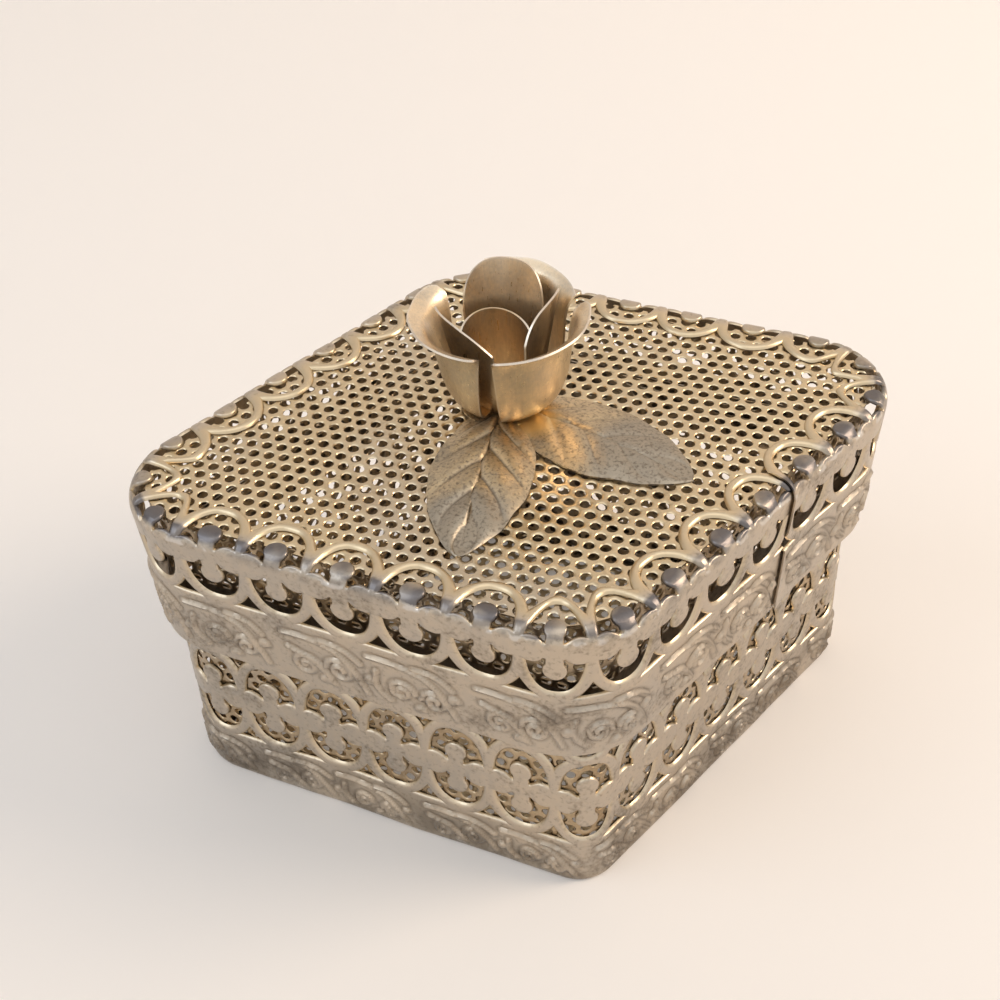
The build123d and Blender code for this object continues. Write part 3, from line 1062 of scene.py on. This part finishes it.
def fold_metal(finish, along, height):
    """Sheet tone on the top, slate-grey lobes and a painted highlight along the fold's outer edge.

    Distances along the strip and heights up it are in centimetres.
    """
    tones = bpy.context.scene.box_metal
    outline = lid_outline()
    half_ring = outline.length / ring_count(outline) / 2
    across = finish.ping_pong(along, half_ring / (10 * MM))
    rough = finish.noise(finish.place, 260, 4.0)
    finish.lay(tones.sheet, finish.times(finish.range(height, 2.6, 2.72), 0.8))
    wave = finish.range(rough, 0.35, 0.65, -0.05, 0.05)
    edge = finish.minus(height, wave)
    upper = finish.minus(finish.range(across, 0.17, 0.24, 2.80, 2.60), height)
    slate = finish.times(finish.range(edge, 2.36, 2.40), finish.range(upper, 0.0, 0.05))
    far = finish.range(finish.axis("Y"), -2 * MM, 14 * MM, 1.0, 0.2)
    patches = finish.range(finish.noise(finish.place, 110, 3.0), 0.40, 0.54, 0.35, 1.0)
    slate = finish.times(finish.times(slate, far), patches)
    finish.lay(tones.slate, finish.times(slate, 0.9))
    smudge = finish.times(finish.range(edge, 2.16, 2.36), finish.range(rough, 0.5, 0.6, 0.0, 0.6))
    smudge = finish.times(smudge, far)
    finish.lay(tones.slate, finish.times(smudge, finish.range(edge, 2.5, 2.44)))
    # Painted highlight: a bright, broken line along the fold's outer edge.
    bright = finish.times(finish.range(edge, 2.28, 2.32), finish.range(edge, 2.40, 2.36))
    finish.lay(tones.wear_and_highlight, finish.times(bright, finish.range(rough, 0.46, 0.42, 0.0, 0.5)))


def sheet_metal(name, group, tone, level):
    tones = bpy.context.scene.box_metal
    finish = Finish(name, tone)
    mask, _ = finish.tarnish(group, 60, 1300, level)
    finish.lay(tones.sheet_dark, finish.times(mask, 0.75))
    finish.lay(tones.strip_cool, finish.range(finish.noise(finish.place, 35, 2.0), 0.5, 0.7, 0, 0.5))
    fine = finish.noise(finish.place, 800, 3.0)
    return finish.done(mask, 0.28, 0.46, fine, 0.25, 0.08 * MM)


def petal_metal(group):
    tones = bpy.context.scene.box_metal
    finish = Finish("Brushed petal metal", tones.petal)
    streaks = finish.noise(finish.stretched(1.0, 1.0, 0.06), 3600, 3.0)
    finish.lay(tones.strip_dark, finish.range(streaks, 0.4, 0.8, 0.0, 0.16))
    cool, _ = finish.tarnish(group, 70, 1800, 0.6)
    finish.lay(tones.strip_cool, finish.times(cool, 0.6))
    low = SCREW_HIGH[2]
    level = finish.axis("Z")
    finish.lay(tones.copper, finish.range(level, low + 8 * MM, low - 2 * MM, 0.0, 0.3))
    # Painted gold reflection at the foot of the petals.
    finish.lay(tones.gold, finish.range(level, low + 1.5 * MM, low - 2 * MM, 0.0, 0.4))
    mask, _ = finish.tarnish(group, 160, 900, 0.70)
    finish.lay(tones.leaf_dark, finish.times(mask, 0.35))
    # Painted highlight along the petals' rims.
    finish.lay(tones.wear_and_highlight, finish.range(finish.attribute("rim"), 0.3, 0.9, 0.0, 0.35))
    return finish.done(streaks, 0.26, 0.40, streaks, 0.06, 0.03 * MM)


def leaf_metal(group):
    tones = bpy.context.scene.box_metal
    finish = Finish("Speckled leaf metal", tones.leaf)
    mask, _ = finish.tarnish(group, 110, 1900, 0.58)
    finish.lay(tones.leaf_dark, finish.times(mask, 0.7))
    for long, facing, reach in ((27 * MM, -47, 12 * MM), (29 * MM, -113, 8 * MM)):
        tip = finish.near(leaf_place(long, facing), 0.75 * reach, reach)
        finish.lay(tones.leaf_slate, finish.times(tip, 0.8))
    pits = finish.noise(finish.place, 2100, 5.0)
    finish.lay(tones.strip_dark, finish.range(pits, 0.50, 0.66, 0.0, 0.7))
    finish.lay(tones.strip_dark, finish.range(finish.attribute("groove"), 0.25, 0.9, 0.0, 0.75))
    # Painted gold reflection on the leaves just under the front petal.
    painted_gold_reflection = finish.near(leaf_place(7.5 * MM, -62), 2.2 * MM, 4.4 * MM)
    finish.lay(tones.painted_gold_light, finish.times(painted_gold_reflection, 0.9))
    fine = finish.noise(finish.place, 900, 6.0)
    return finish.done(mask, 0.40, 0.58, fine, 0.5, 0.16 * MM)


def fastener_metal(group):
    tones = bpy.context.scene.box_metal
    finish = Finish("Plain brass fastener", tones.fastener)
    mask, _ = finish.tarnish(group, 300, 2600, 0.7)
    finish.lay(tones.sheet_dark, finish.times(mask, 0.7))
    fine = finish.noise(finish.place, 1500, 2.0)
    return finish.done(mask, 0.25, 0.45, fine, 0.15, 0.05 * MM)


def seen_directly(tree):
    """Is 1 for what the camera sees, also in metal, and 0 for light that falls on things."""
    path = add_node(tree, "LightPath", {})
    total = path.outputs["Is Camera Ray"]
    for ray in ("Is Glossy Ray", "Is Transmission Ray"):
        rays = {0: total, 1: path.outputs[ray]}
        total = add_node(tree, "Math", rays, use_clamp=True).outputs[0]
    return total


def paper_material():
    studio = bpy.context.scene.box_studio
    finish = Finish("Paper", studio.paper, rough=0.9, metallic=0.0)
    finish.shader.inputs["Specular IOR Level"].default_value = 0.1
    finish.shader.inputs["Emission Color"].default_value = (*studio.paper, 1)
    glow = finish.times(seen_directly(finish.tree), studio.paper_glow)
    finish.feed(glow, "Emission Strength")
    grain = finish.noise(finish.place, 60, 2.0)
    return finish.done(grain, 0.85, 0.95, grain, 0.05, 0.2 * MM)


# Operators


class TRINKET_OT_materials(bpy.types.Operator):
    """Makes the box's metals"""

    bl_idname = "trinket.materials"
    bl_label = "Metals"

    def execute(self, context):
        group = tarnish_group()
        tones = context.scene.box_metal
        strip_metal("Base openwork metal", group, 0.66, False)
        strip_metal("Lid openwork metal", group, 0.70, True)
        sheet_metal("Perforated gilt sheet", group, tones.sheet, 0.72)
        sheet_metal("Perforated lining", group, tones.lining, 0.6)
        petal_metal(group)
        leaf_metal(group)
        fastener_metal(group)
        return {"FINISHED"}


class TRINKET_OT_base(bpy.types.Operator):
    """Makes the openwork and the embossed border of the base"""

    bl_idname = "trinket.base"
    bl_label = "Base strip"

    def execute(self, context):
        cut = context.scene.box_filigree
        neck = BASE_HIGH[2] - BASE_LOW[2] - cut.base_ring

        def top(pitch, trim):
            return level_edge(pitch, neck, trim)

        make_band(
            "base", base_outline(), base_profile, 0, cut.base_ring, -context.scene.box_plan.hem,
            (crescent, lower_crescent, second_crescent), (spandrel, diamond), top,
        )
        return {"FINISHED"}


class TRINKET_OT_lid(bpy.types.Operator):
    """Makes the openwork and the embossed border of the lid"""

    bl_idname = "trinket.lid"
    bl_label = "Lid strip"

    def execute(self, context):
        cut = context.scene.box_filigree
        fold = context.scene.box_plan.fold
        wall = LID_HIGH[2] - LID_LOW[2] - fold
        folds = [wall + fold * math.pi / 2 * i / 9 for i in range(10)]
        make_band(
            "lid", lid_outline(), lid_profile, cut.seam + 0.5, cut.lid_ring, 0.0,
            (crescent, lower_crescent), (spandrel,), scallop, folds,
        )
        return {"FINISHED"}


class TRINKET_OT_sheets(bpy.types.Operator):
    """Makes the perforated floor, linings and top"""

    bl_idname = "trinket.sheets"
    bl_label = "Perforated sheets"

    def execute(self, context):
        plan = context.scene.box_plan
        metal = bpy.data.materials["Perforated gilt sheet"]
        lining = bpy.data.materials["Perforated lining"]
        top = flat_sheet(lid_outline(plan.fold + 0.5 * MM), "lid_sheet", "lid_top_sheet")
        settle(top, "lid", "perforated_metal", metal, "lid_sheet")
        floor = flat_sheet(base_outline(0.6 * MM), "base_floor", "base_floor_sheet")
        settle(floor, "base", "perforated_metal", metal, "base_floor")
        low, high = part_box("base_liner")
        inner = base_outline(0.85 * MM)
        visible = LID_LOW[2]
        for name, start, end in (("low", low[2], visible), ("neck", visible, high[2])):
            liner = strip_sheet(inner, start, end - start, f"base_liner_{name}")
            settle(liner, "base", "perforated_metal", lining, "base_liner")
        low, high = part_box("lid_liner")
        liner = strip_sheet(base_outline(), low[2], high[2] - low[2], "lid_liner_strip")
        settle(liner, "lid", "perforated_metal", lining, "lid_liner")
        return {"FINISHED"}


class TRINKET_OT_rose(bpy.types.Operator):
    """Makes the rose's petals and bud"""

    bl_idname = "trinket.rose"
    bl_label = "Rose"

    def execute(self, context):
        metal = bpy.data.materials["Brushed petal metal"]
        front = (
            (1.5, 0.9), (5.6, 0.95), (8.0, 2.7), (9.3, 5.6), (9.9, 9.2), (10.3, 12.4),
            (11.0, 14.7), (12.7, 16.0),
        )
        left = (
            (1.5, 0.9), (5.4, 0.95), (7.4, 2.7), (8.4, 5.6), (8.9, 9.2), (9.4, 12.4),
            (10.3, 14.8), (12.3, 16.1),
        )
        rear = (
            (1.5, 0.9), (5.6, 0.95), (7.8, 2.7), (9.0, 5.6), (9.6, 9.6), (10.0, 13.2),
            (10.9, 16.0), (12.9, 17.5),
        )
        arch = ((1.5, 0.2), (3.9, 0.3), (5.9, 4.5), (7.3, 9.5), (8.2, 14.4), (9.0, 19.3))
        blade = ((1.5, 0.2), (3.9, 0.3), (5.4, 4.0), (6.0, 8.4), (6.4, 12.8), (6.8, 16.7))
        curl = ((1.5, 0.2), (3.9, 0.3), (5.4, 4.0), (6.0, 8.2), (6.3, 12.2), (6.7, 15.7))
        bud = ((1.5, 0.4), (2.9, 0.5), (4.3, 2.8), (5.0, 6.4), (5.3, 9.8), (5.45, 12.4))
        shapes = (
            PetalShape("outer_petal_front", front, 106, -51, spread=1.7),
            PetalShape(
                "outer_petal_back", rear, 81, 42.5, partial(slanted_top, 0.3), spread=-0.9
            ),
            PetalShape("outer_petal_left", left, 126, -176, narrowing=0.3),
            PetalShape("inner_petal_back", arch, 102, 74, arched_top, ripple=0.2, lean=0.0),
            PetalShape(
                "inner_petal_right", blade, 72, -24, partial(slanted_top, 0.8), 0.1,
                spread=3.9, flatness=1.9,
            ),
            PetalShape(
                "inner_petal_left", curl, 100, -155, partial(slanted_top, -0.8), 0.1,
                spread=-1.9, flatness=1.6,
            ),
            PetalShape("rose_bud", bud, 360, 0, tilted_top, ripple=0.0),
        )
        for shape in shapes:
            settle(petal(shape), "lid", "petal_metal", metal, shape.node)
        return {"FINISHED"}


class TRINKET_OT_leaves(bpy.types.Operator):
    """Makes the two stamped leaves"""

    bl_idname = "trinket.leaves"
    bl_label = "Leaves"

    def execute(self, context):
        metal = bpy.data.materials["Speckled leaf metal"]
        level = LEAF_LOW[2] + 0.35 * MM
        bm = bmesh.new()
        bm.verts.layers.float.new("groove")
        leaves = ((34.3, 14.8, -113, 0.0, 1.0), (32.8, 15.5, -47.5, 0.05, 0.5))
        for long, wide, facing, rise, wear_and_highlight in leaves:
            add_leaf(bm, long * MM, wide * MM, facing, level + rise * MM, wear_and_highlight)
        hub = Matrix.Translation((ROSE.x, ROSE.y, level + 0.3 * MM))
        bmesh.ops.create_circle(bm, cap_ends=True, segments=48, radius=6.5 * MM, matrix=hub)
        piece = make_object(bm, "leaves", context.scene.box_rose.leaf, offset=0)
        settle(piece, "lid", "leaf_metal", metal, "rose_leaves")
        return {"FINISHED"}


class TRINKET_OT_fasteners(bpy.types.Operator):
    """Gives the screw, washer and nut their brass"""

    bl_idname = "trinket.fasteners"
    bl_label = "Fasteners"

    def execute(self, context):
        metal = bpy.data.materials["Plain brass fastener"]
        for name in ("rose_screw", "rose_washer", "rose_nut"):
            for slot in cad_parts[name].material_slots:
                slot.material = metal
        return {"FINISHED"}


def add_light(name, place, aim, size, power, tone):
    data = bpy.data.lights.new(name, "AREA")
    data.shape = "DISK"
    data.size = size
    data.energy = power
    data.color = tone
    lamp = bpy.data.objects.new(name, data)
    lamp.location = place
    lamp.rotation_euler = (Vector(aim) - Vector(place)).to_track_quat("-Z", "Y").to_euler()
    bpy.context.scene.collection.objects.link(lamp)


def paper_sweep(wall):
    """Paper that lies flat, bends up behind the box and stands up as its backdrop."""
    bm = bmesh.new()
    bmesh.ops.create_grid(bm, x_segments=2, y_segments=120, size=1)
    start = wall - PAPER_BEND
    for vert in bm.verts:
        x, run = vert.co.x * PAPER_HALF_WIDTH, vert.co.y * PAPER_REACH
        past = run - start
        if past <= 0:
            vert.co = (x, run, 0)
        elif past < PAPER_BEND * math.pi / 2:
            turn = past / PAPER_BEND
            vert.co = (x, start + PAPER_BEND * math.sin(turn), PAPER_BEND * (1 - math.cos(turn)))
        else:
            vert.co = (x, wall, past + PAPER_BEND * (1 - math.pi / 2))
    return make_object(bm, "paper", sharp=math.pi)


def room_light(strength):
    """World that lights the box plainly, and is white where it is seen directly."""
    world = bpy.data.worlds.new("Room")
    world.use_nodes = True
    tree = world.node_tree
    light = tree.nodes["Background"]
    light.inputs["Color"].default_value = (1, 0.98, 0.96, 1)
    spread = add_node(tree, "MapRange", {"Value": seen_directly(tree), "To Min": strength})
    tree.links.new(spread.outputs["Result"], light.inputs["Strength"])
    return world


def photo_camera(studio):
    data = bpy.data.cameras.new("camera")
    data.lens = studio.lens
    data.sensor_width = 36
    camera = bpy.data.objects.new("camera", data)
    turn = Matrix.Rotation(-studio.heading, 4, "Z")
    turn = turn @ Matrix.Rotation(math.pi / 2 - studio.elevation, 4, "X")
    turn = turn @ Matrix.Rotation(studio.roll, 4, "Z")
    place = Matrix.Translation((studio.camera_x, studio.camera_y, studio.camera_z))
    camera.matrix_world = place @ turn
    bpy.context.scene.collection.objects.link(camera)
    return camera


class TRINKET_OT_stage(bpy.types.Operator):
    """Makes the paper sweep, the lights and the camera"""

    bl_idname = "trinket.stage"
    bl_label = "Stage"

    def execute(self, context):
        scene = context.scene
        studio = scene.box_studio
        paper = paper_sweep(studio.wall)
        paper.data.materials.append(paper_material())
        for lamp in LAMPS:
            add_light(*lamp)
        scene.world = room_light(studio.room)
        scene.camera = photo_camera(studio)
        scene.view_settings.view_transform = "Standard"
        return {"FINISHED"}


class TRINKET_PT_panel(bpy.types.Panel):
    """Lists the steps and the main sizes"""

    bl_idname = "TRINKET_PT_panel"
    bl_label = "Trinket box"
    bl_space_type = "VIEW_3D"
    bl_region_type = "UI"
    bl_category = "Trinket box"

    def draw(self, context):
        for step in STEPS:
            self.layout.operator(step)
        for group in SETTINGS:
            for name in getattr(context.scene, group).bl_rna.properties.keys():
                if name not in ("rna_type", "name"):
                    self.layout.prop(getattr(context.scene, group), name)


SETTINGS = {
    "box_plan": PlanSettings,
    "box_filigree": FiligreeSettings,
    "box_sheet": SheetSettings,
    "box_rose": RoseSettings,
    "box_metal": MetalSettings,
    "box_studio": StudioSettings,
}
OPERATORS = (
    TRINKET_OT_materials,
    TRINKET_OT_base,
    TRINKET_OT_lid,
    TRINKET_OT_sheets,
    TRINKET_OT_rose,
    TRINKET_OT_leaves,
    TRINKET_OT_fasteners,
    TRINKET_OT_stage,
)
STEPS = [operator.bl_idname for operator in OPERATORS]


def register():
    for name, group in SETTINGS.items():
        bpy.utils.register_class(group)
        setattr(bpy.types.Scene, name, PointerProperty(type=group))
    for operator in OPERATORS:
        bpy.utils.register_class(operator)
    bpy.utils.register_class(TRINKET_PT_panel)


def unregister():
    bpy.utils.unregister_class(TRINKET_PT_panel)
    for operator in reversed(OPERATORS):
        bpy.utils.unregister_class(operator)
    for name, group in SETTINGS.items():
        delattr(bpy.types.Scene, name)
        bpy.utils.unregister_class(group)


def main():
    register()
    noise.seed_set(DENT_SEED)
    for operator in OPERATORS:
        family, step = operator.bl_idname.split(".")
        getattr(getattr(bpy.ops, family), step)()


if __name__ == "__main__":
    main()
